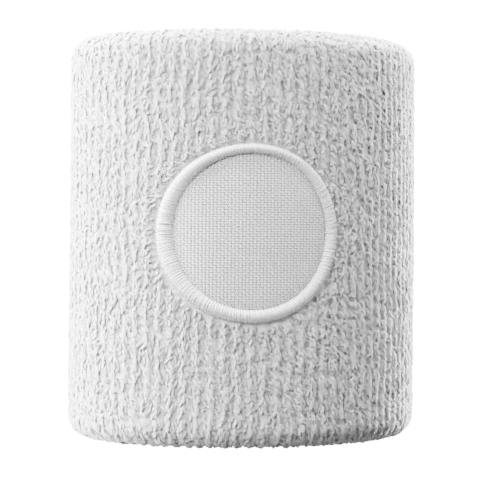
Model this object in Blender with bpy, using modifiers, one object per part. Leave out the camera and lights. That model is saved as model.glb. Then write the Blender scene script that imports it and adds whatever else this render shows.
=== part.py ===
"""Sweat wristband of folded terry knit, with a round patch sewn to its front.

The band stands on one of its folded rims, +Z up, with the patch facing -Y and the
origin at the middle of the lower rim. All sizes are in metres.
"""

import math

import bmesh
import bpy

# Band
BAND_HEIGHT = 0.080
BAND_RADIUS = 0.0355  # outside of the pile
LAYER_THICKNESS = 0.0028  # one layer of terry, ground knit and pile
GROUND_THICKNESS = 0.0008  # the knit left where the pile is stitched flat
RIM_FLAT = 0.0010  # width of the ring that each folded rim stands on
SEAM_HEIGHT = 0.014  # where the two raw edges meet on the wrist side
SEAM_GAP = 0.0012  # between the raw edges

# Thread and yarn
SEAM_FLANGE_WIDTH = 0.0044  # the overlocking that lies in the pocket
SEAM_FLANGE_THICKNESS = 0.0003
YARN_DIAMETER = 0.00035  # covered elastic
YARN_PITCH = 0.0085
YARN_MARGIN = 0.0060  # from each rim to the first and last turn
BOBBIN_THICKNESS = 0.0003
BOBBIN_WIDTH = 0.0016
TACK_DIAMETER = 0.0003

# Patch
PATCH_HEIGHT = 0.0410  # of its centre
PATCH_RADIUS = 0.0175  # over the satin border
BORDER_WIDTH = 0.0028
BORDER_RISE = 0.0011  # height of the border's dome
DISC_THICKNESS = 0.0004
DISC_COVERED = 0.0019  # how far the disc runs under the border
TACK_COVERED = 0.0012  # how far the tack-down line lies in from the border's inner edge
BACKING_THICKNESS = 0.0003
BACKING_OVERHANG = 0.0010  # backing left past the border

# Gaps
CLEARANCE = 0.0003  # between pieces that touch
STITCH_CLEARANCE = 0.0002  # between a thread and what it is drawn down on

# Facets
BAND_STEPS = 64
PATCH_STEPS = 48
PATCH_RINGS = 5
FOLD_STEPS = 5
YARN_POINTS_PER_TURN = 32
BORDER_STEPS = 8  # over the border's dome
THREAD_STEPS = 5  # round the tack-down line
WELD = 1e-6  # points closer than this become one
SMOOTH_ANGLE = 40  # degrees, edges sharper than this stay sharp

# Radii through the wall, from the outside of the band to the wrist
outer_back = BAND_RADIUS - LAYER_THICKNESS
backing_outer = outer_back - CLEARANCE
bobbin_outer = backing_outer - BACKING_THICKNESS - STITCH_CLEARANCE
yarn_outer = bobbin_outer - BOBBIN_THICKNESS - CLEARANCE
flange_outer = yarn_outer - YARN_DIAMETER - CLEARANCE
inner_back = flange_outer - SEAM_FLANGE_THICKNESS - CLEARANCE
bore_radius = inner_back - LAYER_THICKNESS

# Radii through the patch, from the crushed pile outwards
recess_floor = outer_back + GROUND_THICKNESS
disc_inner = recess_floor + CLEARANCE
tack_centre = disc_inner + DISC_THICKNESS + STITCH_CLEARANCE + TACK_DIAMETER / 2
border_inner = tack_centre + TACK_DIAMETER / 2 + STITCH_CLEARANCE
wrap_radius = disc_inner + DISC_THICKNESS / 2  # patch sizes hold true at this radius


def clear_scene():
    for old in list(bpy.data.objects):
        bpy.data.objects.remove(old)


def new_collection(name):
    collection = bpy.data.collections.new(name)
    bpy.context.scene.collection.children.link(collection)
    return collection


def new_material(name, colour, roughness):
    material = bpy.data.materials.new(name)
    material.use_nodes = True
    shader = material.node_tree.nodes["Principled BSDF"]
    shader.inputs["Base Color"].default_value = (*colour, 1.0)
    shader.inputs["Roughness"].default_value = roughness
    shader.inputs["Metallic"].default_value = 0.0
    return material


def add_object(name, data, collection, material, parent):
    made = bpy.data.objects.new(name, data)
    made.data.materials.append(material)
    made.parent = parent
    collection.objects.link(made)
    return made


def evaluated_mesh(source):
    """The object's mesh with its modifiers applied, welded and facing out; the object goes."""
    graph = bpy.context.evaluated_depsgraph_get()
    mesh = bpy.data.meshes.new_from_object(source.evaluated_get(graph))
    mesh.name = source.name
    bpy.data.objects.remove(source)
    work = bmesh.new()
    work.from_mesh(mesh)
    bmesh.ops.remove_doubles(work, verts=work.verts, dist=WELD)
    bmesh.ops.recalc_face_normals(work, faces=work.faces)
    work.to_mesh(mesh)
    work.free()
    return mesh


def turned_mesh(name, profile, steps):
    """A closed outline of (radius, height) points turned once round Z."""
    mesh = bpy.data.meshes.new(name)
    count = len(profile)
    edges = [(i, (i + 1) % count) for i in range(count)]
    mesh.from_pydata([(r, 0.0, z) for r, z in profile], edges, [])
    blank = bpy.data.objects.new(name, mesh)
    bpy.context.scene.collection.objects.link(blank)
    screw = blank.modifiers.new("Turn", "SCREW")
    screw.steps = steps
    screw.render_steps = steps
    screw.use_merge_vertices = True
    screw.merge_threshold = WELD
    return evaluated_mesh(blank)


def shade(mesh):
    mesh.shade_smooth()
    mesh.set_sharp_from_angle(angle=math.radians(SMOOTH_ANGLE))


def arc(centre_r, centre_z, radius, start, end, steps):
    """Points on an arc of the profile, angles in degrees."""
    turn = [math.radians(start + (end - start) * i / steps) for i in range(steps + 1)]
    return [(centre_r + radius * math.cos(a), centre_z + radius * math.sin(a)) for a in turn]


def wrap_on_band(mesh):
    """Bend a flat patch piece round the band.

    It is turned round Z with its outer face up. Its plan becomes the distance round
    and up the band, and its height becomes the distance from the band's axis.
    """
    for vertex in mesh.vertices:
        across, up, radius = vertex.co
        angle = across / wrap_radius
        vertex.co = (radius * math.sin(angle), -radius * math.cos(angle), up)
    work = bmesh.new()
    work.from_mesh(mesh)
    bmesh.ops.recalc_face_normals(work, faces=work.faces)
    work.to_mesh(mesh)
    work.free()


def plate_profile(radius, low, high):
    """Outline of a round plate, with rings enough for it to bend."""
    rings = [radius * i / PATCH_RINGS for i in range(PATCH_RINGS + 1)]
    return [(r, high) for r in rings] + [(r, low) for r in reversed(rings)]


def patch_piece(name, profile, collection, material, parent):
    mesh = turned_mesh(name, profile, PATCH_STEPS)
    wrap_on_band(mesh)
    shade(mesh)
    made = add_object(name, mesh, collection, material, parent)
    made.location = (0.0, 0.0, PATCH_HEIGHT)
    return made


def terry_sleeve(collection, cutters, material, parent):
    """One knitted tube folded in on itself, its raw edges a small gap apart."""
    top = BAND_HEIGHT
    fold = (BAND_RADIUS - bore_radius - RIM_FLAT) / 2
    pocket = (outer_back - inner_back) / 2
    pocket_middle = (outer_back + inner_back) / 2
    pocket_low = LAYER_THICKNESS + pocket
    low_edge = SEAM_HEIGHT - SEAM_GAP / 2
    high_edge = SEAM_HEIGHT + SEAM_GAP / 2
    outside = (
        arc(bore_radius + fold, top - fold, fold, 180, 90, FOLD_STEPS)
        + arc(BAND_RADIUS - fold, top - fold, fold, 90, 0, FOLD_STEPS)
        + arc(BAND_RADIUS - fold, fold, fold, 0, -90, FOLD_STEPS)
        + arc(bore_radius + fold, fold, fold, -90, -180, FOLD_STEPS)
    )
    inside = arc(pocket_middle, pocket_low, pocket, -180, 0, FOLD_STEPS) + arc(
        pocket_middle, top - pocket_low, pocket, 0, 180, FOLD_STEPS
    )
    raw_edges = [(bore_radius, low_edge), (inner_back, low_edge)]
    raw_edges_back = [(inner_back, high_edge), (bore_radius, high_edge)]
    profile = outside + raw_edges + inside + raw_edges_back
    mesh = turned_mesh("terry_sleeve", profile, BAND_STEPS)
    shade(mesh)
    made = add_object("terry_sleeve", mesh, collection, material, parent)

    hollow = plate_profile(PATCH_RADIUS + CLEARANCE, recess_floor, BAND_RADIUS + BORDER_RISE)
    cutter = patch_piece("patch_recess", hollow, cutters, material, parent)
    cutter.hide_render = True
    cutter.display_type = "WIRE"
    cut = made.modifiers.new("Patch recess", "BOOLEAN")
    cut.operation = "DIFFERENCE"
    cut.object = cutter
    return made


def closing_seam_thread(collection, material, parent):
    """Overlocking that joins the raw edges: a web between them and a flange in the pocket."""
    web = (SEAM_GAP - 2 * CLEARANCE) / 2
    half = SEAM_FLANGE_WIDTH / 2
    flange_inner = flange_outer - SEAM_FLANGE_THICKNESS
    tip = bore_radius + CLEARANCE
    profile = [
        (flange_outer, SEAM_HEIGHT + half),
        (flange_outer, SEAM_HEIGHT - half),
        (flange_inner, SEAM_HEIGHT - half),
        (flange_inner, SEAM_HEIGHT - web),
        (tip, SEAM_HEIGHT - web),
        (tip, SEAM_HEIGHT + web),
        (flange_inner, SEAM_HEIGHT + web),
        (flange_inner, SEAM_HEIGHT + half),
    ]
    mesh = turned_mesh("closing_seam_thread", profile, BAND_STEPS)
    shade(mesh)
    return add_object("closing_seam_thread", mesh, collection, material, parent)


def elastic_yarn(collection, material, parent):
    """Covered elastic laid round the pocket in a helix."""
    low = YARN_MARGIN
    turns = (BAND_HEIGHT - 2 * YARN_MARGIN) / YARN_PITCH
    centre = yarn_outer - YARN_DIAMETER / 2
    curve = bpy.data.curves.new("elastic_yarn", "CURVE")
    curve.dimensions = "3D"
    curve.bevel_depth = YARN_DIAMETER / 2
    curve.bevel_resolution = 2
    curve.use_fill_caps = True
    spline = curve.splines.new("POLY")
    count = math.ceil(turns * YARN_POINTS_PER_TURN)
    spline.points.add(count)
    for i, point in enumerate(spline.points):
        share = i / count
        angle = 2 * math.pi * turns * share
        height = low + turns * YARN_PITCH * share
        point.co = (centre * math.sin(angle), centre * math.cos(angle), height, 1.0)
    return add_object("elastic_yarn", curve, collection, material, parent)


def patch_disc(collection, material, parent):
    """Woven disc, its edge under the border."""
    radius = PATCH_RADIUS - BORDER_WIDTH + DISC_COVERED
    profile = plate_profile(radius, disc_inner, disc_inner + DISC_THICKNESS)
    return patch_piece("patch_disc", profile, collection, material, parent)


def tack_down_stitch(collection, material, parent):
    """Line of stitches that holds the disc before the border covers it."""
    radius = PATCH_RADIUS - BORDER_WIDTH + TACK_COVERED
    last = -360 * THREAD_STEPS / (THREAD_STEPS + 1)
    profile = arc(radius, tack_centre, TACK_DIAMETER / 2, 0, last, THREAD_STEPS)
    return patch_piece("tack_down_stitch", profile, collection, material, parent)


def patch_border(collection, material, parent):
    """Satin-stitched ring, flat below and domed above."""
    middle = PATCH_RADIUS - BORDER_WIDTH / 2
    dome = [
        (middle - BORDER_WIDTH / 2 * math.cos(a), border_inner + BORDER_RISE * math.sin(a))
        for a in (math.pi * i / BORDER_STEPS for i in range(BORDER_STEPS + 1))
    ]
    profile = dome + [(middle, border_inner)]
    return patch_piece("patch_border", profile, collection, material, parent)


def patch_backing(collection, material, parent):
    """Cut-away stabiliser left behind the stitching, in the pocket."""
    radius = PATCH_RADIUS + BACKING_OVERHANG
    profile = plate_profile(radius, backing_outer - BACKING_THICKNESS, backing_outer)
    return patch_piece("patch_backing", profile, collection, material, parent)


def border_bobbin_thread(collection, material, parent):
    """Under-thread of the border, drawn flat on the backing."""
    middle = PATCH_RADIUS - BORDER_WIDTH / 2
    low, high = bobbin_outer - BOBBIN_THICKNESS, bobbin_outer
    near, far = middle - BOBBIN_WIDTH / 2, middle + BOBBIN_WIDTH / 2
    profile = [(near, high), (far, high), (far, low), (near, low)]
    return patch_piece("border_bobbin_thread", profile, collection, material, parent)


def build():
    clear_scene()
    parts = new_collection("sweat_wristband")
    cutters = new_collection("cutters")
    band = bpy.data.objects.new("band", None)
    parts.objects.link(band)

    terry = new_material("terry", (0.86, 0.86, 0.86), 0.95)
    thread = new_material("satin_thread", (0.90, 0.90, 0.90), 0.45)
    woven = new_material("woven_polyester", (0.80, 0.80, 0.80), 0.60)
    elastic = new_material("covered_elastic", (0.82, 0.81, 0.78), 0.70)
    nonwoven = new_material("nonwoven_backing", (0.84, 0.84, 0.82), 0.90)

    terry_sleeve(parts, cutters, terry, band)
    closing_seam_thread(parts, thread, band)
    elastic_yarn(parts, elastic, band)
    patch_disc(parts, woven, band)
    tack_down_stitch(parts, thread, band)
    patch_border(parts, thread, band)
    patch_backing(parts, nonwoven, band)
    border_bobbin_thread(parts, thread, band)


build()
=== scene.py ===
import math

import bpy
import numpy as np
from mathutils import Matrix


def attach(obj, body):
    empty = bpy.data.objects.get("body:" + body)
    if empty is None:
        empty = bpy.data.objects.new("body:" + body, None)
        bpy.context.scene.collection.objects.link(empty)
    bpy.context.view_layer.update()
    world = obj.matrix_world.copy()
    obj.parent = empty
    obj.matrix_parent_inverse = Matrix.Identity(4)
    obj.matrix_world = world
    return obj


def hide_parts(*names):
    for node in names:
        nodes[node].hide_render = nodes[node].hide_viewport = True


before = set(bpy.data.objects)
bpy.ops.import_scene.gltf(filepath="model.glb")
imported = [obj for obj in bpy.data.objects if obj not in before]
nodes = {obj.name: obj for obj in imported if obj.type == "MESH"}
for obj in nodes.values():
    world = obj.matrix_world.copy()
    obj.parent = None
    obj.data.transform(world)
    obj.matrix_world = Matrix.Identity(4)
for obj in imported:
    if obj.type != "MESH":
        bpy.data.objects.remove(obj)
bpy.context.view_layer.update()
print("frame loaded:", ", ".join(sorted(nodes)))

# metres throughout; z runs up the band, the patch faces -y
# an angle is measured round the band from the middle of the front, towards +x


def reachOf(name):
    # nearest and furthest a CAD node comes to the band's axis, and its lowest and highest point
    points = np.zeros(len(nodes[name].data.vertices) * 3, np.float32)
    nodes[name].data.vertices.foreach_get("co", points)
    points = points.reshape(-1, 3).astype(float)
    away = np.hypot(points[:, 0], points[:, 1])
    return away.min(), away.max(), points[:, 2].min(), points[:, 2].max()


boreRadius, bandRadius, bandLow, bandHigh = reachOf("terry_sleeve")
seamLow, seamHigh = reachOf("closing_seam_thread")[2:]
borderTop, borderLow, borderHigh = reachOf("patch_border")[1:]
discBack, discFace, discLow, discHigh = reachOf("patch_disc")
tackLow, tackHigh = reachOf("tack_down_stitch")[2:]
backingFace, backingLow, backingHigh = reachOf("patch_backing")[1:]
bobbinFace, bobbinLow, bobbinHigh = reachOf("border_bobbin_thread")[1:]

seamHeight = (seamLow + seamHigh) / 2
patchHeight = (borderLow + borderHigh) / 2
patchRadius = (borderHigh - borderLow) / 2
discRadius = (discHigh - discLow) / 2
wrapRadius = (discBack + discFace) / 2

draw = np.random.default_rng(11)


def waves(seed, count, roundMost, upMost):
    # a smooth field over (angle, height) that closes round the band, mostly within -1 to 1
    pick = np.random.default_rng(seed)
    rounds = pick.integers(-roundMost, roundMost + 1, count)
    ups = pick.uniform(-upMost, upMost, count)
    starts = pick.uniform(0, 2 * math.pi, count)

    def field(angle, height):
        total = sum(
            np.sin(n * angle + u * height / bandHigh + s) for n, u, s in zip(rounds, ups, starts)
        )
        return total / math.sqrt(2 * count)

    return field


# how the soft band stands: a little out of round, with slow dents in its walls
stand = dict(ovalShare=0.050, ovalTurn=math.radians(-42), dent=0.00030)
slowDents = waves(3, 9, 5, 7.0)


def settle(angle, radius, height):
    share = 1 + stand["ovalShare"] * np.cos(2 * (angle - stand["ovalTurn"]))
    out = radius * share + stand["dent"] * slowDents(angle, height)
    return np.stack([out * np.sin(angle), -out * np.cos(angle), height], axis=-1)


# the terry tube, as a path that runs from one raw edge, round both folds, to the other
sleeve = dict(
    pile=0.00065,  # ground knit to the even face of the pile
    ground=0.00210,  # thickness of the ground knit
    seamGap=0.0008,
)
wallHalf = (bandRadius - boreRadius) / 2
wallMiddle = (bandRadius + boreRadius) / 2
groundHalf = wallHalf - sleeve["pile"]
foldRun = math.pi * (groundHalf + sleeve["pile"] / 2)
lowRun = seamHeight - sleeve["seamGap"] / 2 - wallHalf
outerRun = bandHigh - 2 * wallHalf
highRun = bandHigh - wallHalf - seamHeight - sleeve["seamGap"] / 2
runEnds = np.cumsum([0, lowRun, foldRun, outerRun, foldRun, highRun])
sleeveRun = runEnds[-1]


def sectionAt(run, lift):
    # radius and height of a point at a distance along the path, lifted off the ground knit
    out = groundHalf + lift
    lowTurn = math.pi + (run - runEnds[1]) / foldRun * math.pi
    highTurn = (run - runEnds[3]) / foldRun * math.pi
    where = [run < runEnds[1], run < runEnds[2], run < runEnds[3], run < runEnds[4]]
    radius = np.select(
        where,
        [wallMiddle - out, wallMiddle + out * np.cos(lowTurn), wallMiddle + out,
         wallMiddle + out * np.cos(highTurn)],
        wallMiddle - out,
    )
    height = np.select(
        where,
        [wallHalf + runEnds[1] - run, wallHalf + out * np.sin(lowTurn),
         wallHalf + run - runEnds[2], bandHigh - wallHalf + out * np.sin(highTurn)],
        bandHigh - wallHalf - (run - runEnds[4]),
    )
    return radius, height


def onSleeve(angle, run, lift):
    radius, height = sectionAt(run, lift)
    return settle(angle, radius, height)


# the sleeve is stretched round, which leaves the patch a little wider than it is tall
pull = dict(across=1.012, up=0.965)


def onPatch(across, up, radius):
    # patch sizes hold true at wrapRadius, and the radius says how deep a point lies
    return settle(across * pull["across"] / wrapRadius, radius, patchHeight + up * pull["up"])


def patchPlan(angle, height):
    # the way back from a place on the band to the patch's own plan
    turned = (angle + math.pi) % (2 * math.pi) - math.pi
    return turned * wrapRadius / pull["across"], (height - patchHeight) / pull["up"]


def addMaterial(name, colour, roughness, sheen=0.0):
    material = bpy.data.materials.new(name)
    material.use_nodes = True
    tree = material.node_tree
    shader = tree.nodes["Principled BSDF"]
    shader.inputs["Base Color"].default_value = (*colour, 1)
    shader.inputs["Roughness"].default_value = roughness
    shader.inputs["Sheen Weight"].default_value = sheen
    return material, tree, shader


def addNode(tree, kind, inputs=(), **settings):
    node = tree.nodes.new(kind)
    for key, value in settings.items():
        setattr(node, key, value)
    for key, value in dict(inputs).items():
        if hasattr(value, "links"):
            tree.links.new(value, node.inputs[key])
        else:
            node.inputs[key].default_value = value
    return node


def addTint(tree, shader, factor, low, high):
    ramp = addNode(tree, "ShaderNodeValToRGB", {"Fac": factor})
    ramp.color_ramp.elements[0].color = (*low, 1)
    ramp.color_ramp.elements[1].color = (*high, 1)
    ramp.color_ramp.elements[0].position = 0.3
    ramp.color_ramp.elements[1].position = 0.7
    tree.links.new(ramp.outputs["Color"], shader.inputs["Base Color"])


def addBump(tree, shader, height, strength, distance):
    bump = addNode(
        tree, "ShaderNodeBump", {"Height": height, "Strength": strength, "Distance": distance}
    )
    tree.links.new(bump.outputs["Normal"], shader.inputs["Normal"])


def cottonPile():
    # soft spun cotton: fine fibres, faint change of tone from loop to loop
    material, tree, shader = addMaterial("cottonPile", (0.86, 0.86, 0.86), 0.95, 1.0)
    shader.inputs["Sheen Roughness"].default_value = 0.5
    shader.inputs["Specular IOR Level"].default_value = 0.25
    shader.inputs["Subsurface Weight"].default_value = 1.0
    shader.inputs["Subsurface Radius"].default_value = (1, 1, 1)
    shader.inputs["Subsurface Scale"].default_value = 0.0008
    place = addNode(tree, "ShaderNodeTexCoord").outputs["Object"]
    tone = addNode(tree, "ShaderNodeTexNoise", {"Vector": place, "Scale": 420.0, "Detail": 2.0})
    addTint(tree, shader, tone.outputs["Fac"], (0.82, 0.82, 0.82), (0.90, 0.90, 0.90))
    fibre = addNode(tree, "ShaderNodeTexNoise", {"Vector": place, "Scale": 5200.0, "Detail": 3.0})
    addBump(tree, shader, fibre.outputs["Fac"], 0.5, 0.00002)
    return material


def groundKnit():
    # the knit under the pile: fine wales crossed by courses
    material, tree, shader = addMaterial("groundKnit", (0.80, 0.80, 0.80), 0.95, 0.2)
    place = addNode(tree, "ShaderNodeTexCoord").outputs["Object"]
    course = addNode(
        tree, "ShaderNodeTexWave", {"Vector": place, "Scale": 260.0, "Distortion": 1.5},
        bands_direction="Z",
    )
    tone = addNode(tree, "ShaderNodeTexNoise", {"Vector": place, "Scale": 700.0, "Detail": 3.0})
    addTint(tree, shader, tone.outputs["Fac"], (0.74, 0.74, 0.74), (0.82, 0.82, 0.82))
    addBump(tree, shader, course.outputs["Fac"], 0.6, 0.0002)
    return material


def glossThread(name, colour, roughness):
    # embroidery thread: bright filaments that run along each stitch
    material, tree, shader = addMaterial(name, colour, roughness, 0.15)
    shader.inputs["Specular IOR Level"].default_value = 1.0
    place = addNode(tree, "ShaderNodeTexCoord").outputs["Object"]
    tone = addNode(tree, "ShaderNodeTexNoise", {"Vector": place, "Scale": 900.0, "Detail": 2.0})
    low = tuple(c * 0.95 for c in colour)
    high = tuple(min(c * 1.04, 1.0) for c in colour)
    addTint(tree, shader, tone.outputs["Fac"], low, high)
    ply = addNode(tree, "ShaderNodeTexNoise", {"Vector": place, "Scale": 4200.0, "Detail": 2.0})
    addBump(tree, shader, ply.outputs["Fac"], 0.35, 0.00005)
    return material


def wovenPolyester():
    # smooth filament yarn with a low gloss
    material, tree, shader = addMaterial("wovenPolyester", (0.71, 0.71, 0.71), 0.55, 0.1)
    place = addNode(tree, "ShaderNodeTexCoord").outputs["Object"]
    tone = addNode(tree, "ShaderNodeTexNoise", {"Vector": place, "Scale": 160.0, "Detail": 3.0})
    addTint(tree, shader, tone.outputs["Fac"], (0.68, 0.68, 0.68), (0.73, 0.73, 0.73))
    filament = addNode(tree, "ShaderNodeTexNoise", {"Vector": place, "Scale": 6000.0})
    addBump(tree, shader, filament.outputs["Fac"], 0.25, 0.00004)
    return material


def coveredElastic():
    # elastic core wound with thread: close diagonal turns
    material, tree, shader = addMaterial("coveredElastic", (0.82, 0.81, 0.78), 0.7)
    place = addNode(tree, "ShaderNodeTexCoord").outputs["Object"]
    turns = addNode(
        tree, "ShaderNodeTexWave", {"Vector": place, "Scale": 900.0, "Distortion": 0.6},
        bands_direction="DIAGONAL",
    )
    addTint(tree, shader, turns.outputs["Fac"], (0.74, 0.73, 0.69), (0.86, 0.85, 0.82))
    addBump(tree, shader, turns.outputs["Fac"], 0.7, 0.0001)
    return material


def pressedFibre():
    # nonwoven backing: short fibres pressed flat in every direction
    material, tree, shader = addMaterial("pressedFibre", (0.84, 0.84, 0.82), 0.9)
    place = addNode(tree, "ShaderNodeTexCoord").outputs["Object"]
    mat = addNode(
        tree, "ShaderNodeTexNoise",
        {"Vector": place, "Scale": 1500.0, "Detail": 6.0, "Distortion": 2.5},
    )
    addTint(tree, shader, mat.outputs["Fac"], (0.78, 0.78, 0.75), (0.88, 0.88, 0.86))
    addBump(tree, shader, mat.outputs["Fac"], 0.6, 0.0001)
    return material


cotton = cottonPile()
knit = groundKnit()
satin = glossThread("satinThread", (0.94, 0.94, 0.94), 0.26)
plainThread = glossThread("plainThread", (0.84, 0.84, 0.84), 0.5)
polyester = wovenPolyester()
elastic = coveredElastic()
backingFibre = pressedFibre()
print("materials made")


def addPiece(name, points, faces, corners, material, slot):
    # faces is a list of index arrays, corners the matching places on the piece's bake map
    mesh = bpy.data.meshes.new(name)
    mesh.vertices.add(len(points))
    mesh.vertices.foreach_set("co", points.astype(np.float32).ravel())
    sizes = np.concatenate([np.full(len(f), f.shape[1]) for f in faces])
    order = np.concatenate([f.ravel() for f in faces])
    mesh.loops.add(len(order))
    mesh.loops.foreach_set("vertex_index", order.astype(np.int32))
    mesh.polygons.add(len(sizes))
    mesh.polygons.foreach_set("loop_start", (np.cumsum(sizes) - sizes).astype(np.int32))
    mesh.update(calc_edges=True)
    mesh.shade_smooth()
    if corners is not None:
        spots = np.concatenate([c.reshape(-1, 2) for c in corners]).astype(np.float32)
        mesh.uv_layers.new(name="OFBake").uv.foreach_set("vector", spots.ravel())
    mesh.materials.append(material)
    piece = bpy.data.objects.new(name, mesh)
    bpy.context.scene.collection.objects.link(piece)
    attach(piece, "root")
    return piece


def unit(v):
    return v / np.maximum(np.linalg.norm(v, axis=-1, keepdims=True), 1e-12)


def sweepTubes(paths, wide, thick, sides, facing):
    # closed tubes along many paths of equal length at once; paths is (tube, point, xyz)
    # facing is the way that each tube's thickness starts, and it is carried along the path
    tubes, steps = paths.shape[:2]
    ahead = np.empty_like(paths)
    ahead[:, 1:-1] = paths[:, 2:] - paths[:, :-2]
    ahead[:, 0] = paths[:, 1] - paths[:, 0]
    ahead[:, -1] = paths[:, -1] - paths[:, -2]
    ahead = unit(ahead)
    up = np.empty_like(paths)
    last = np.broadcast_to(facing, (tubes, 3))
    for i in range(steps):
        last = unit(last - (last * ahead[:, i]).sum(-1, keepdims=True) * ahead[:, i])
        up[:, i] = last
    side = np.cross(ahead, up)
    turn = (np.arange(sides) + 0.5) * 2 * math.pi / sides
    wide = np.broadcast_to(wide, (tubes, steps))[:, :, None, None]
    thick = np.broadcast_to(thick, (tubes, steps))[:, :, None, None]
    ring = (
        paths[:, :, None]
        + side[:, :, None] * wide * np.cos(turn)[None, None, :, None]
        + up[:, :, None] * thick * np.sin(turn)[None, None, :, None]
    )
    here = np.arange(tubes * steps * sides).reshape(tubes, steps, sides)
    after = np.roll(here, -1, axis=2)
    walls = np.stack([here[:, :-1], here[:, 1:], after[:, 1:], after[:, :-1]], axis=-1)
    ends = np.concatenate([here[:, 0], here[:, -1, ::-1]])
    return ring.reshape(-1, 3), [walls.reshape(-1, 4), ends], tubeMap(tubes, steps, sides)


def tubeMap(tubes, steps, sides):
    # every tube gets its own cell of the bake map, its ends in two small squares beside it
    across = math.ceil(math.sqrt(tubes))
    cell = 1 / across
    corner = np.stack([np.arange(tubes) % across, np.arange(tubes) // across], axis=-1) * cell
    along = np.linspace(0.08, 0.84, steps)
    around = np.linspace(0.08, 0.92, sides + 1)
    u0, v0 = np.meshgrid(along[:-1], around[:-1], indexing="ij")
    u1, v1 = np.meshgrid(along[1:], around[1:], indexing="ij")
    quad = np.stack([u0, v0, u1, v0, u1, v1, u0, v1], axis=-1).reshape(1, -1, 4, 2)
    walls = corner[:, None, None] + quad * cell
    turn = np.arange(sides) * 2 * math.pi / sides
    disc = np.stack([np.cos(turn), np.sin(turn)], axis=-1) * 0.03
    near = corner[:, None] + (disc + [0.91, 0.25]) * cell
    far = corner[:, None] + (disc[::-1] + [0.91, 0.75]) * cell
    return [walls.reshape(-1, 4, 2), np.concatenate([near, far])]


def gridFaces(rows, columns, closed):
    # quads of a grid whose columns may close on themselves
    here = np.arange(rows * columns).reshape(rows, columns)
    beside = np.roll(here, -1, axis=1)
    last = columns if closed else columns - 1
    quads = [here[:-1, :last], beside[:-1, :last], beside[1:, :last], here[1:, :last]]
    return np.stack(quads, axis=-1).reshape(-1, 4)


# the pile parts round the patch: curls are pushed out to its edge and lean away from it
parting = dict(
    clear=0.00042,
    push=0.0007,
    fade=0.0022,
    hold=0.0013,
    aside=0.0011,  # how far a curl at the edge lies over
    crowd=1.7,  # on the right they lie the other way, over the border
    crowdFrom=0.25,
)

# ground knit: a thin closed wall along the whole path, with a low rib under each wale
waleDrift = waves(21, 14, 9, 40.0)
waleCount = 89
knitMesh = dict(
    columns=5 * waleCount,
    rows=110,
    rib=0.00060,
    press=0.0012,  # how deep the patch presses the knit in
    pressFade=0.0014,
    drift=0.012,  # radians that a wale wanders
)


def waleShift(angle, height):
    # the wales wander a little as they run up the band
    return knitMesh["drift"] * waleDrift(angle, height)


# the pile has been brushed flat, least of all right of the patch and most over the folds
brushing = dict(roughest=0.52, narrow=2.5, fold=0.006, leastAtFold=0.15)


def roughAt(angle, height):
    fromFold = np.minimum(height, bandHigh - height) / brushing["fold"]
    calm = np.clip(fromFold, brushing["leastAtFold"], 1)
    return calm * np.exp(brushing["narrow"] * (np.cos(angle - brushing["roughest"]) - 1))


def ribAt(angle, height):
    # how far the knit sinks between two wales
    depth = knitMesh["rib"] * (0.3 + 0.7 * roughAt(angle, height))
    return depth / 2 * (np.cos(waleCount * (angle - waleShift(angle, height))) - 1)


def groundSleeve():
    angle = np.linspace(0, 2 * math.pi, knitMesh["columns"], endpoint=False)
    run = np.linspace(0, sleeveRun, knitMesh["rows"])
    a, r = np.meshgrid(angle, run)
    radius, height = sectionAt(r, 0.0)
    edge = patchRadius + parting["clear"] * 2
    under = np.clip((edge - np.hypot(*patchPlan(a, height))) / knitMesh["pressFade"], 0, 1)
    under = np.where(radius > wallMiddle, under, 0.0)
    outside = onSleeve(a, r, ribAt(a, height) * (1 - under) - knitMesh["press"] * under)
    inside = onSleeve(a[::-1], r[::-1], -sleeve["ground"])
    points = np.concatenate([outside, inside, outside[:1]])
    rows = len(points)
    quads = gridFaces(rows, knitMesh["columns"], True)
    quads[quads >= (rows - 1) * knitMesh["columns"]] -= (rows - 1) * knitMesh["columns"]
    corners = stripMap(rows, knitMesh["columns"])
    flat = points[:-1].reshape(-1, 3)
    return addPiece("terryGround", flat, [quads], [corners], knit, "terry")


def stripMap(rows, columns):
    u0, v0 = np.meshgrid(np.arange(rows - 1) / rows, np.arange(columns) / columns, indexing="ij")
    du, dv = 1 / rows, 1 / columns
    quads = [u0, v0, u0, v0 + dv, u0 + du, v0 + dv, u0 + du, v0]
    return np.stack(quads, axis=-1).reshape(-1, 4, 2) * 0.98 + 0.01


ground = groundSleeve()
print("ground knit made")

# terry loops: the yarn's own twist winds each loop into a short two-ply curl that lies over
terry = dict(
    coursePitch=0.00118,
    yarn=0.00027,  # radius of the yarn
    flat=0.6,  # its thickness over its width, pressed down as it lies
    apart=0.00040,  # between the two strands of a curl
    foot=0.00085,  # between its two feet in the knit
    tall=(0.00040, 0.00086),
    lean=0.00120,  # how far its tip lies from its foot
    crestLean=0.00135,
    wind=2.6,  # radians from foot to tip
    fuzz=(0.97, 0.66),  # where it lies brushed, and where it is rough
    ribTilt=(0.10, 0.75),
    valley=0.85,  # height of the curls between two crests
    beside=0.34,  # from a crest to the curls at its sides, in wales
    stagger=0.33,  # and how far those are moved up or down, in courses
    jitter=0.3,
    edge=0.0004,  # bare knit left at the raw edges
    stray=(0.002, 0.006),  # radians, on a crest and beside it
    settled=0.8,  # the curls on a crest vary less
    heading=(0.30, 0.42),  # slow change of the way they lie, and change from curl to curl
    against=0.2,  # share that lies the other way
    rooted=0.0003,
    points=9,
    sides=4,
    panels=8,
)
heightDrift = waves(22, 16, 24, 60.0)
leanDrift = waves(23, 16, 20, 50.0)


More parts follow.
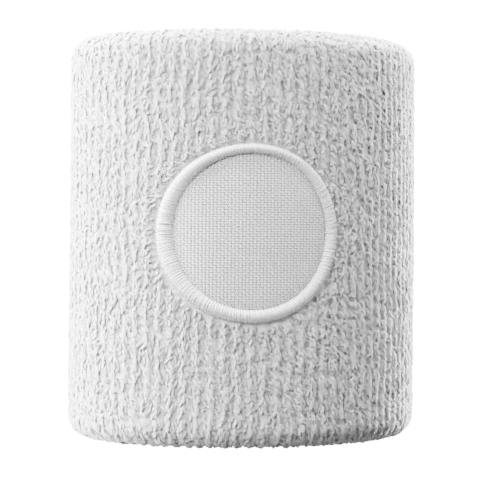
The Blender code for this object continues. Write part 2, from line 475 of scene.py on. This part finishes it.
def terryLoops():
    courses = int(sleeveRun / terry["coursePitch"])
    wale, place, course = (
        g.ravel() for g in np.meshgrid(np.arange(waleCount), (-1, 0, 1), np.arange(courses))
    )
    count = len(wale)
    crest = place == 0  # one column in three makes the crest of a wale
    pitch = 2 * math.pi / waleCount
    angle = pitch * (wale + terry["beside"] * place)
    jitter = draw.uniform(-terry["jitter"], terry["jitter"], count) * np.where(crest, 0.5, 1.0)
    run = (course + 0.5 + terry["stagger"] * place + jitter) * terry["coursePitch"]
    run = np.clip(run, terry["edge"], sleeveRun - terry["edge"])
    radius, height = sectionAt(run, 0.0)
    stray = draw.normal(0, 1, count) * np.where(crest, *terry["stray"])
    angle = angle + waleShift(angle, height) + stray

    # where a curl is near the patch, in the patch's own plan
    outer = radius > wallMiddle
    across, up = patchPlan(angle, height)
    away = np.hypot(across, up)
    edge = patchRadius + parting["clear"]
    pushed = away + parting["push"] * np.exp(-np.maximum(away - edge, 0) / parting["fade"])
    near = outer & (away < patchRadius + 5 * parting["fade"])
    grow = np.where(near, pushed / np.maximum(away, 1e-6), 1.0)
    angle = np.where(near, across * grow * pull["across"] / wrapRadius, angle)
    run = np.where(near, run + up * (grow - 1) * pull["up"], run)
    keep = ~(outer & (away * grow < edge))
    hold = np.where(near, np.exp(-(away * grow - edge) / parting["hold"]), 0.0)
    outX, outY = across / np.maximum(away, 1e-6), up / np.maximum(away, 1e-6)
    crowd = hold * np.clip(outX * 1.3 - parting["crowdFrom"], 0, 1)

    brushed, rough = terry["tall"]
    tall = brushed + (rough - brushed) * roughAt(angle, height)
    tall = tall * np.where(crest, 1.0, terry["valley"])
    loose = np.where(crest, terry["settled"], 1.0)
    uneven = 0.07 * heightDrift(angle, height) + draw.normal(0, 0.09, count) * loose
    tall = tall * np.minimum(1 + uneven, 1.15) * (1 + 0.15 * crowd)
    slow, each = terry["heading"]
    heading = slow * leanDrift(angle, height) + draw.normal(0, each, count) * loose
    heading = heading + math.pi * (draw.random(count) < terry["against"] * loose**2)
    lean = np.where(crest, terry["crestLean"], terry["lean"]) * draw.uniform(0.75, 1.2, count)
    away = hold - parting["crowd"] * crowd
    goAcross = lean * np.sin(heading) * (1 - hold) + away * outX * parting["aside"]
    goUp = -lean * np.cos(heading) * (1 - hold) + away * outY * parting["aside"]
    lean = np.maximum(np.hypot(goAcross, goUp), 1e-5)
    toward = np.stack([goAcross, goUp], axis=-1) / lean[:, None]
    beside = np.stack([toward[:, 1], -toward[:, 0]], axis=-1)

    # from foot to tip the curl bends over a quarter turn, its two strands wound round it
    t = np.linspace(0, math.pi, terry["points"])[None]
    u = np.sin(t) ** 0.75
    part = np.sign(np.cos(t)) * np.abs(np.cos(t)) ** 0.6 / 2
    part = part * (terry["apart"] + (terry["foot"] - terry["apart"]) * (1 - u) ** 2)
    part = part * draw.uniform(0.85, 1.2, (count, 1))
    wind = terry["wind"] * u * draw.uniform(0.5, 1.3, (count, 1)) + draw.normal(0, 0.5, (count, 1))
    tall, lean = tall[:, None], lean[:, None]
    slopeOn, slopeUp = lean * np.sin(u * math.pi / 2), tall * np.cos(u * math.pi / 2)
    slope = np.hypot(slopeOn, slopeUp)
    ahead = lean * (1 - np.cos(u * math.pi / 2)) - part * np.sin(wind) * slopeUp / slope
    lift = tall * np.sin(u * math.pi / 2) + part * np.sin(wind) * slopeOn / slope
    lift = lift - terry["rooted"]
    aside = part * np.cos(wind)
    wander = draw.normal(0, 0.00005, (2, count, terry["points"])) * u
    goAcross = toward[:, :1] * ahead + beside[:, :1] * aside + wander[0]
    goUp = toward[:, 1:] * ahead + beside[:, 1:] * aside + wander[1]
    around = angle[:, None] + goAcross / np.maximum(radius, boreRadius)[:, None]
    lift = lift + ribAt(around, height[:, None]) + knitMesh["rib"] / 4
    paths = onSleeve(around, run[:, None] + goUp, lift)
    paths[..., 2] = np.maximum(paths[..., 2], bandLow + terry["yarn"])  # flat where it stands
    panel = ((angle / (2 * math.pi)) % 1 * terry["panels"]).astype(int)
    panel = panel + terry["panels"] * (height > bandHigh / 2)
    return paths[keep], panel[keep]


def softenShading(piece, points, paths):
    # loose fibres hide the round of a yarn, so its shading leans to that of the wall behind it
    ring = points.reshape(*paths.shape[:2], -1, 3)
    own = unit(ring - paths[:, :, None])
    wall = np.broadcast_to(outOfWall(paths)[:, :, None], ring.shape)
    brushed, rough = terry["fuzz"]
    angle = np.arctan2(ring[..., :1], -ring[..., 1:2])
    fuzz = brushed + (rough - brushed) * roughAt(angle, ring[..., 2:])
    soft = unit(own * (1 - fuzz) + wall * fuzz).reshape(-1, 3)
    piece.data.normals_split_custom_set_from_vertices(soft)


def outOfWall(points):
    # direction out of the double wall, round over the two folds and tilted down each wale's sides
    away = np.hypot(points[..., 0], points[..., 1])
    middle = np.clip(points[..., 2], wallHalf, bandHigh - wallHalf)
    out = unit(np.stack([away - wallMiddle, points[..., 2] - middle], axis=-1))
    angle = np.arctan2(points[..., 0], -points[..., 1])
    brushed, rough = terry["ribTilt"]
    tilt = brushed + (rough - brushed) * roughAt(angle, points[..., 2])
    slope = np.sin(waleCount * (angle - waleShift(angle, points[..., 2]))) * tilt
    goX = np.sin(angle) * out[..., 0] + np.cos(angle) * slope
    goY = -np.cos(angle) * out[..., 0] + np.sin(angle) * slope
    return unit(np.stack([goX, goY, out[..., 1]], axis=-1))


def terryPile():
    paths, panel = terryLoops()
    thick = terry["yarn"] * draw.uniform(0.85, 1.2, (len(paths), 1))
    outward = unit(paths[:, terry["points"] // 2] * [1, 1, 0])
    pieces = []
    for i in range(2 * terry["panels"]):
        mine = panel == i
        flat = thick[mine] * terry["flat"]
        made = sweepTubes(paths[mine], thick[mine], flat, terry["sides"], outward[mine])
        piece = addPiece(f"terryPile{i + 1}", *made, cotton, "terry")
        softenShading(piece, made[0], paths[mine])
        pieces.append(piece)
    print("terry loops:", len(paths))
    return pieces


pile = terryPile()
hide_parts("terry_sleeve")

# seam on the wrist side: threads that cross between the raw edges and wrap them
seam = dict(stitches=120, bite=0.0013, thread=0.00014, proud=0.0001)


def closingSeam():
    count = seam["stitches"]
    angle = 2 * math.pi * np.arange(count) / count + draw.normal(0, 0.004, count)
    half = math.pi * 1.2 / count
    edgeRadius = wallMiddle - groundHalf
    t = np.linspace(0, 2 * math.pi, 13)[None]
    a = angle[:, None] + half * np.sin(t / 2 - math.pi / 2)
    bite = seam["bite"] * draw.uniform(0.85, 1.15, (count, 1))
    height = seamHeight + bite * np.cos(t)
    depth = sleeve["ground"] / 2 + seam["proud"] + seam["thread"]
    middle = edgeRadius + sleeve["ground"] / 2
    radius = middle - depth * np.sin(t)
    paths = settle(a, radius, height)
    made = sweepTubes(paths, seam["thread"], seam["thread"], 5, np.array([0.0, 0.0, 1.0]))
    return addPiece("closingSeam", *made, plainThread, "satin_thread")


seamPiece = closingSeam()
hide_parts("closing_seam_thread")
print("closing seam made")

# satin border: close stitches thrown over a soft core
border = dict(
    width=0.0026,
    sink=0.0008,  # how far its core runs into the pile
    uneven=(0.0004, -0.0003, -0.0003),  # wider at both sides, narrower at right and at top
    stitches=372,
    thread=0.000135,
    slant=0.0005,  # how far round a stitch ends from where it starts
    ragged=0.00020,
    points=10,
)


def borderWidth(turn):
    twice, right, top = border["uneven"]
    return border["width"] + twice * np.cos(2 * turn) + right * np.cos(turn) + top * np.sin(turn)


# the patch's cloth: a thin film with a plain weave laid on it
cloth = dict(
    pitch=(0.00064, 0.00047),  # between warp threads, and between weft threads
    wide=(0.00029, 0.00021),  # half width of a thread of each kind
    thick=0.00010,
    wave=0.00011,
    bulge=0.00030,
    rise=0.00070,  # drawn up tight from where the CAD disc lies
    ripple=0.00012,
    tuck=0.00055,  # how deep the border draws the cloth's edge in
    tuckReach=0.0006,
    film=0.0002,
    filmBelow=0.0001,  # from the middle of the threads down to the film
    rings=26,
    steps=120,
)
clothDents = waves(31, 6, 22, 18.0)


def clothRadius(across, up):
    # the cloth's face swells a little in the middle and turns down where the border holds it
    away = np.hypot(across, up)
    inside = patchRadius - borderWidth(np.arctan2(up, across)) - away
    swell = cloth["bulge"] * np.clip(1 - (away / discRadius) ** 2, 0, 1)
    swell = swell + cloth["ripple"] * clothDents(across / wrapRadius, patchHeight + up)
    tucked = cloth["tuck"] * np.exp(-np.maximum(inside, 0) / cloth["tuckReach"])
    return discFace + cloth["rise"] + swell - tucked


def plate(name, radius, faceAt, thickness, rings, steps, material, slot, ragged=0.0):
    # a thin round plate with its face at faceAt, bent round the band
    edgeNoise = 1 + ragged * draw.normal(0, 1, steps)
    turn = np.linspace(0, 2 * math.pi, steps, endpoint=False)
    share = np.sin(np.linspace(0.02, math.pi / 2, rings))
    r = radius * share[:, None] * (1 + (edgeNoise - 1) * share[:, None] ** 6)
    x, z = r * np.cos(turn), r * np.sin(turn)
    front = onPatch(x, z, faceAt(x, z))
    back = onPatch(x[::-1], z[::-1], faceAt(x[::-1], z[::-1]) - thickness)
    points = np.concatenate([front, back]).reshape(-1, 3)
    quads = gridFaces(2 * rings, steps, True)[:, ::-1]
    caps = np.array([np.arange(steps), np.arange(steps)[::-1] + (2 * rings - 1) * steps])
    corners = stripMap(2 * rings, steps)[:, ::-1]
    spot = np.stack([np.cos(turn), np.sin(turn)], axis=-1) * 0.004
    capCorners = np.stack([spot + [0.992, 0.3], spot + [0.992, 0.7]])
    return addPiece(name, points, [quads, caps], [corners, capCorners], material, slot)


def weaveThreads():
    # warp runs up and weft across, each passing over and under in turn
    parts, faces, corners, start = [], ([], []), ([], []), 0
    halves = [int(discRadius / pitch) for pitch in cloth["pitch"]]
    rows = 2 * sum(halves) + 2
    for way in (0, 1):
        apart, step, half = cloth["pitch"][way], cloth["pitch"][1 - way], halves[way]
        for i in range(-half, half + 1):
            reach = int(math.sqrt(max(discRadius**2 - (i * apart) ** 2, 0)) / step)
            if reach < 2:
                continue
            j = np.arange(-reach, reach + 0.25, 0.5)
            across, along = np.full(len(j), i * apart), j * step
            over = np.cos(math.pi * (i + j + way)) * cloth["wave"]
            x, z = (across, along) if way == 0 else (along, across)
            path = onPatch(x, z, clothRadius(x, z) + over)[None]
            outward = path[:, 0] * [1, 1, 0]
            made = sweepTubes(path, cloth["wide"][way], cloth["thick"], 6, outward)
            parts.append(made[0])
            for k in (0, 1):
                faces[k].append(made[1][k] + start)
            row = way * (2 * halves[0] + 1) + i + half
            for k in (0, 1):
                corners[k].append((made[2][k] + [0, row]) * [1, 1 / rows])
            start += len(made[0])
    points = np.concatenate(parts)
    faces = [np.concatenate(f) for f in faces]
    corners = [np.concatenate(c) for c in corners]
    return addPiece("patchWeave", points, faces, corners, polyester, "woven_polyester")


def clothFilm(x, z):
    return clothRadius(x, z) - cloth["filmBelow"]


film = plate(
    "patchCloth", discRadius, clothFilm, cloth["film"], cloth["rings"], cloth["steps"],
    polyester, "woven_polyester",
)
weave = weaveThreads()
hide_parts("patch_disc")
print("patch cloth made")


def borderDome(share):
    # height of the border over its width, from -1 at the inner edge to 1 at the outer
    rise = np.sqrt(np.clip(1 - share**2, 0, 1))
    base = discFace + np.where(share < 0, cloth["rise"] - cloth["tuck"], -0.0005)
    return base + (borderTop - border["thread"] - base) * rise**0.8


def borderCore():
    steps, ring = 160, 16
    turn = np.linspace(0, 2 * math.pi, steps, endpoint=False)
    share = np.cos(np.linspace(math.pi, 0, ring))
    top = borderDome(share * 0.98) - border["thread"] * 1.2
    low = np.full(ring, discFace - border["sink"])
    radius = np.concatenate([np.maximum(top, low + 0.00005), low])
    share = np.concatenate([share, share[::-1]])
    turnGrid = np.meshgrid(turn, np.arange(2 * ring), indexing="ij")[0]
    r = patchRadius - borderWidth(turnGrid) / 2 * (1 - share * 0.94)
    depth = np.broadcast_to(radius, turnGrid.shape)
    points = onPatch(r * np.cos(turnGrid), r * np.sin(turnGrid), depth)
    points = np.concatenate([points, points[:1]])
    quads = gridFaces(steps + 1, 2 * ring, True)
    quads[quads >= steps * 2 * ring] -= steps * 2 * ring
    corners = stripMap(steps + 1, 2 * ring)
    flat = points[:-1].reshape(-1, 3)
    return addPiece("borderCore", flat, [quads], [corners], satin, "satin_thread")


def satinStitches():
    count = border["stitches"]
    turn = 2 * math.pi * (np.arange(count) + draw.normal(0, 0.14, count)) / count
    share = np.cos(np.linspace(math.pi, 0, border["points"]))[None]
    width = borderWidth(turn)[:, None]
    inner = -1 - draw.uniform(0, 2, (count, 1)) * border["ragged"] / border["width"]
    outer = 1 + draw.normal(0, 0.4, (count, 1)) * border["ragged"] / border["width"]
    place = inner + (outer - inner) * (share + 1) / 2
    r = patchRadius - width / 2 * (1 - place)
    slant = border["slant"] * np.where(np.arange(count) % 2 == 0, 1, 0.55)[:, None]
    a = turn[:, None] + slant * (share - 0.2) / 2 / patchRadius
    radius = borderDome(np.clip(place, -1, 1)) + draw.normal(0, 0.00003, (count, 1))
    paths = onPatch(r * np.cos(a), r * np.sin(a), radius)
    outward = unit(paths[:, 0] * [1, 1, 0])
    thread = border["thread"] * draw.uniform(0.9, 1.15, (count, 1))
    made = sweepTubes(paths, thread, thread * 0.8, 6, outward)
    return addPiece("satinBorder", *made, satin, "satin_thread")


core = borderCore()
stitches = satinStitches()
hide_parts("patch_border")
print("satin border made")

# stitches that nobody sees: the tack-down line, and the bobbin thread on the backing
hidden = dict(
    tackLength=0.0024,
    tackThread=0.00014,
    tackProud=0.0002,
    tackDip=0.0003,
    bobbinStitches=150,
    bobbinThread=0.00012,
    bobbinHalf=0.0008,  # half the width of the bobbin line
    backing=0.0002,
    backingClear=0.00005,
)


def tackDown():
    ringRadius = (tackHigh - tackLow) / 2 - hidden["tackThread"]
    count = int(2 * math.pi * ringRadius / hidden["tackLength"])
    t = np.linspace(0, 1, 7)[None]
    turn = 2 * math.pi * (np.arange(count)[:, None] + 0.06 + 0.88 * t) / count
    dip = hidden["tackDip"] * (2 * t - 1) ** 6
    x, z = ringRadius * np.cos(turn), ringRadius * np.sin(turn)
    paths = onPatch(x, z, clothRadius(x, z) + hidden["tackProud"] - dip)
    made = sweepTubes(paths, hidden["tackThread"], hidden["tackThread"], 5, unit(paths[:, 0]))
    return addPiece("tackDownLine", *made, plainThread, "satin_thread")


def bobbinStitches():
    count = hidden["bobbinStitches"]
    middle = (bobbinHigh - bobbinLow) / 2 - hidden["bobbinHalf"]
    t = np.linspace(-1, 1, 5)[None]
    way = np.where(np.arange(count) % 2 == 0, 1, -1)[:, None]
    turn = 2 * math.pi * (np.arange(count)[:, None] + 0.5 * t * way) / count
    r = middle + hidden["bobbinHalf"] * t + 0 * turn
    thread = hidden["bobbinThread"]
    paths = onPatch(r * np.cos(turn), r * np.sin(turn), bobbinFace - thread + 0 * r)
    made = sweepTubes(paths, thread, thread, 5, unit(paths[:, 0]))
    return addPiece("bobbinStitches", *made, plainThread, "satin_thread")


def backingAt(x, z):
    return backingFace - hidden["backingClear"] + 0 * x


tack = tackDown()
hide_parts("tack_down_stitch")
bobbin = bobbinStitches()
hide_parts("border_bobbin_thread")
backing = plate(
    "patchBacking", (backingHigh - backingLow) / 2, backingAt, hidden["backing"], 12, 120,
    backingFibre, "nonwoven_backing", 0.006,
)
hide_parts("patch_backing")
nodes["elastic_yarn"].data.materials.clear()
nodes["elastic_yarn"].data.materials.append(elastic)
print("hidden stitches and backing made")

# studio: a pale floor in a white room, two soft keys on the left, a rim light behind right,
# a weaker front and top, and a small light close in at the right of the patch
studio = dict(
    room=4.0,
    glow=20.0,
    above=0.0,  # light of the room over the band
    below=0.42,  # light thrown back by the floor
    keyLow=dict(azimuth=-107, height=0.247, away=0.773, wide=0.65, tall=0.40, power=52.0),
    keyHigh=dict(azimuth=-88, height=0.653, away=0.514, wide=0.50, tall=0.40, power=47.0),
    rim=dict(azimuth=138, height=0.206, away=0.783, wide=0.40, tall=0.40, power=48.0),
    front=dict(azimuth=-40, height=0.500, away=0.870, wide=0.50, tall=0.50, power=20.0),
    top=dict(azimuth=0, height=0.840, away=0.030, wide=0.50, tall=0.50, power=28.0),
    corner=dict(azimuth=50, height=0.160, away=0.120, wide=0.10, tall=0.10, power=0.24),
)


def addGlow(name, tone, glow):
    material, tree, shader = addMaterial(name, (tone, tone, tone), 0.9)
    shader.inputs["Emission Color"].default_value = (1, 1, 1, 1)
    shader.inputs["Emission Strength"].default_value = glow
    return material


def stageOnly(thing):
    # the white floor and room are seen, but throw no light on the band
    thing.visible_diffuse = False
    thing.visible_glossy = False
    thing.visible_transmission = False
    thing.visible_volume_scatter = False
    thing.visible_shadow = False


def addRoom():
    bpy.ops.mesh.primitive_plane_add(size=2 * studio["room"])
    floor = bpy.context.object
    floor.name = "floor"
    floor.data.materials.append(addGlow("paleFloor", 0.9, studio["glow"]))
    stageOnly(floor)
    bpy.ops.mesh.primitive_uv_sphere_add(segments=48, ring_count=24, radius=studio["room"])
    room = bpy.context.object
    room.name = "room"
    room.data.materials.append(addGlow("whiteRoom", 0.0, studio["glow"]))
    stageOnly(room)


def addLight(name):
    # an area light that looks at the middle of the band
    data = bpy.data.lights.new(name, "AREA")
    data.energy = studio[name]["power"]
    data.shape = "RECTANGLE"
    data.size = studio[name]["wide"]
    data.size_y = studio[name]["tall"]
    light = bpy.data.objects.new(name, data)
    light.visible_camera = False
    turn = math.radians(studio[name]["azimuth"])
    out = studio[name]["away"]
    light.location = (out * math.sin(turn), -out * math.cos(turn), studio[name]["height"])
    aim = light.location.copy()
    aim.z -= bandHigh / 2
    light.rotation_euler = aim.to_track_quat("Z", "Y").to_euler()
    bpy.context.scene.collection.objects.link(light)


def addWorld():
    world = bpy.data.worlds.new("studio")
    world.use_nodes = True
    tree = world.node_tree
    way = addNode(tree, "ShaderNodeTexCoord").outputs["Generated"]
    climb = addNode(tree, "ShaderNodeSeparateXYZ", {"Vector": way}).outputs["Z"]
    strength = addNode(
        tree, "ShaderNodeMapRange",
        {"Value": climb, "From Min": -0.5, "From Max": 0.5,
         "To Min": studio["below"], "To Max": studio["above"]},
    )
    tree.links.new(strength.outputs["Result"], tree.nodes["Background"].inputs["Strength"])
    tree.nodes["Background"].inputs["Color"].default_value = (1, 1, 1, 1)
    bpy.context.scene.world = world


addRoom()
for lightName in ("keyLow", "keyHigh", "rim", "front", "top", "corner"):
    addLight(lightName)
addWorld()
bpy.context.scene.view_settings.view_transform = "AgX"

# camera level with the middle of the band
shot = dict(
    away=0.400,
    lens=146.0,
    sensor=36.0,
    turn=math.radians(-2.8),  # round the band, so that the patch stands a little right
    roll=math.radians(-0.4),
    shift=(-0.0055, -0.0033),
)


def addCamera():
    data = bpy.data.cameras.new("camera")
    data.lens = shot["lens"]
    data.sensor_width = shot["sensor"]
    data.clip_start = 0.01
    data.shift_x, data.shift_y = shot["shift"]
    camera = bpy.data.objects.new("camera", data)
    turn = shot["turn"]
    camera.location = (shot["away"] * math.sin(turn), -shot["away"] * math.cos(turn), bandHigh / 2)
    camera.rotation_euler = (math.pi / 2, shot["roll"], turn)
    bpy.context.scene.collection.objects.link(camera)
    bpy.context.scene.camera = camera


addCamera()
print("studio and camera set")
